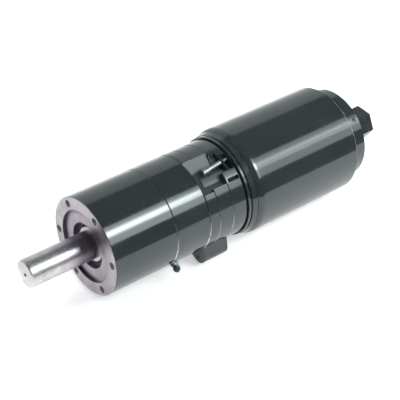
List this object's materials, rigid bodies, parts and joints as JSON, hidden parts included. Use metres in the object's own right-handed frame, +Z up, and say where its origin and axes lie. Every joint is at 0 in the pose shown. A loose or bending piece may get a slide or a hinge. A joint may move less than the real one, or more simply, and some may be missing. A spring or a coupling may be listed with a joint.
{
  "type": "planetary gearmotor",
  "caption": "In-line planetary gearmotor: keyed output shaft, machined bolt face, two-stage planetary gearbox, adapter with screw pockets, tubular motor with rear cap and cable gland.",
  "frame": {"origin": "centre of the machined mounting face, on the shaft axis", "axes": "+X along the output shaft, out of the gearbox; +Z up as the unit lies on a table; angles round the shaft count from +Y towards +Z"},
  "size_m": [0.361, 0.101, 0.101],
  "materials": {
    "black_paint": "gloss black paint",
    "machined_steel": "turned and ground",
    "gear_steel": "ground",
    "bearing_steel": "polished",
    "screw_steel": "zinc plated",
    "black_oxide": "satin black oxide",
    "seal_rubber": "matte",
    "green_cap": "gloss dark green",
    "bronze": "turned",
    "copper": "enamelled",
    "core_steel": "laminated",
    "ferrite": "matte",
    "carbon": "matte",
    "phenolic": "satin",
    "spring_steel": "bright",
    "gland_plastic": "satin black"
  },
  "bodies": {
    "housing": {"output_housing": "black_paint", "output_seal": "seal_rubber", "output_bearing_outer_rings": "bearing_steel", "bearing_circlip": "black_oxide", "ring_gear_casing": "black_paint", "ring_gear": "gear_steel", "ring_gear_lock_screw": "black_paint", "grease_nipple": "green_cap", "grease_nipple_cap": "green_cap", "casing_o_rings": "seal_rubber", "adapter": "black_paint", "lug_screw": "black_oxide", "adapter_screws": "screw_steel", "adapter_screw_sleeves": "screw_steel", "input_seal": "seal_rubber", "pinion_bearing_outer_ring": "bearing_steel", "motor_front_shield": "black_paint", "motor_can": "black_paint", "motor_magnets": "ferrite", "motor_bearing_outer_rings": "bearing_steel", "brush_holder": "phenolic", "carbon_brushes": "carbon", "brush_springs": "spring_steel", "motor_rear_shield": "machined_steel", "rear_cap": "black_paint", "rear_cap_screws": "black_oxide", "cable_gland": "gland_plastic"},
    "output": {"output_shaft": "machined_steel", "wear_sleeve": "machined_steel", "output_bearing_inner_rings": "bearing_steel", "bearing_spacer": "machined_steel", "output_planet_pins": "bearing_steel", "output_planet_clips": "black_oxide"},
    "output_bearing_cages": {"output_bearing_ball_sets": "bearing_steel"},
    "output_planet_1": {"output_planet_gear_1": "gear_steel", "output_planet_bush_1": "bronze"},
    "output_planet_2": {"output_planet_gear_2": "gear_steel", "output_planet_bush_2": "bronze"},
    "output_planet_3": {"output_planet_gear_3": "gear_steel", "output_planet_bush_3": "bronze"},
    "first_carrier": {"input_carrier": "machined_steel", "output_sun_gear": "gear_steel", "input_planet_pins": "bearing_steel"},
    "input_planet_1": {"input_planet_gear_1": "gear_steel"},
    "input_planet_2": {"input_planet_gear_2": "gear_steel"},
    "input_planet_3": {"input_planet_gear_3": "gear_steel"},
    "rotor": {"input_pinion": "gear_steel", "pinion_bearing_inner_ring": "bearing_steel", "coupling_hub_gearbox": "machined_steel", "coupling_spider": "seal_rubber", "coupling_hub_motor": "machined_steel", "coupling_clamp_screws": "black_oxide", "motor_shaft": "machined_steel", "rotor_core": "core_steel", "rotor_windings": "copper", "commutator": "copper", "motor_bearing_inner_rings": "bearing_steel"},
    "pinion_bearing_cage": {"pinion_bearing_ball_set": "bearing_steel"},
    "motor_bearing_cages": {"motor_bearing_ball_sets": "bearing_steel"}
  },
  "joints": [
    {"name": "rotor_spin", "type": "hinge", "parent": "housing", "child": "rotor", "pos_m": [-0.2, 0, 0], "axis": [1, 0, 0], "continuous": true},
    {"name": "first_carrier_spin", "type": "hinge", "parent": "housing", "child": "first_carrier", "pos_m": [-0.085, 0, 0], "axis": [1, 0, 0], "continuous": true},
    {"name": "output_spin", "type": "hinge", "parent": "housing", "child": "output", "pos_m": [0, 0, 0], "axis": [1, 0, 0], "continuous": true},
    {"name": "input_planet_1_spin", "type": "hinge", "parent": "first_carrier", "child": "input_planet_1", "pos_m": [-0.091, 0, 0.0225], "axis": [1, 0, 0], "continuous": true},
    {"name": "input_planet_2_spin", "type": "hinge", "parent": "first_carrier", "child": "input_planet_2", "pos_m": [-0.091, -0.01949, -0.01125], "axis": [1, 0, 0], "continuous": true},
    {"name": "input_planet_3_spin", "type": "hinge", "parent": "first_carrier", "child": "input_planet_3", "pos_m": [-0.091, 0.01949, -0.01125], "axis": [1, 0, 0], "continuous": true},
    {"name": "output_planet_1_spin", "type": "hinge", "parent": "output", "child": "output_planet_1", "pos_m": [-0.0766, 0, 0.0225], "axis": [1, 0, 0], "continuous": true},
    {"name": "output_planet_2_spin", "type": "hinge", "parent": "output", "child": "output_planet_2", "pos_m": [-0.0766, -0.01949, -0.01125], "axis": [1, 0, 0], "continuous": true},
    {"name": "output_planet_3_spin", "type": "hinge", "parent": "output", "child": "output_planet_3", "pos_m": [-0.0766, 0.01949, -0.01125], "axis": [1, 0, 0], "continuous": true},
    {"name": "output_bearing_cage_spin", "type": "hinge", "parent": "housing", "child": "output_bearing_cages", "pos_m": [-0.034, 0, 0], "axis": [1, 0, 0], "continuous": true},
    {"name": "pinion_bearing_cage_spin", "type": "hinge", "parent": "housing", "child": "pinion_bearing_cage", "pos_m": [-0.1055, 0, 0], "axis": [1, 0, 0], "continuous": true},
    {"name": "motor_bearing_cage_spin", "type": "hinge", "parent": "housing", "child": "motor_bearing_cages", "pos_m": [-0.2, 0, 0], "axis": [1, 0, 0], "continuous": true}
  ],
  "couplings": [
    {"joint": "first_carrier_spin", "follows": "rotor_spin", "ratio": 0.25},
    {"joint": "output_spin", "follows": "rotor_spin", "ratio": 0.0625},
    {"joint": "input_planet_1_spin", "follows": "rotor_spin", "ratio": -0.75},
    {"joint": "input_planet_2_spin", "follows": "rotor_spin", "ratio": -0.75},
    {"joint": "input_planet_3_spin", "follows": "rotor_spin", "ratio": -0.75},
    {"joint": "output_planet_1_spin", "follows": "rotor_spin", "ratio": -0.1875},
    {"joint": "output_planet_2_spin", "follows": "rotor_spin", "ratio": -0.1875},
    {"joint": "output_planet_3_spin", "follows": "rotor_spin", "ratio": -0.1875},
    {"joint": "output_bearing_cage_spin", "follows": "rotor_spin", "ratio": 0.024796},
    {"joint": "pinion_bearing_cage_spin", "follows": "rotor_spin", "ratio": 0.38},
    {"joint": "motor_bearing_cage_spin", "follows": "rotor_spin", "ratio": 0.38246}
  ]
}
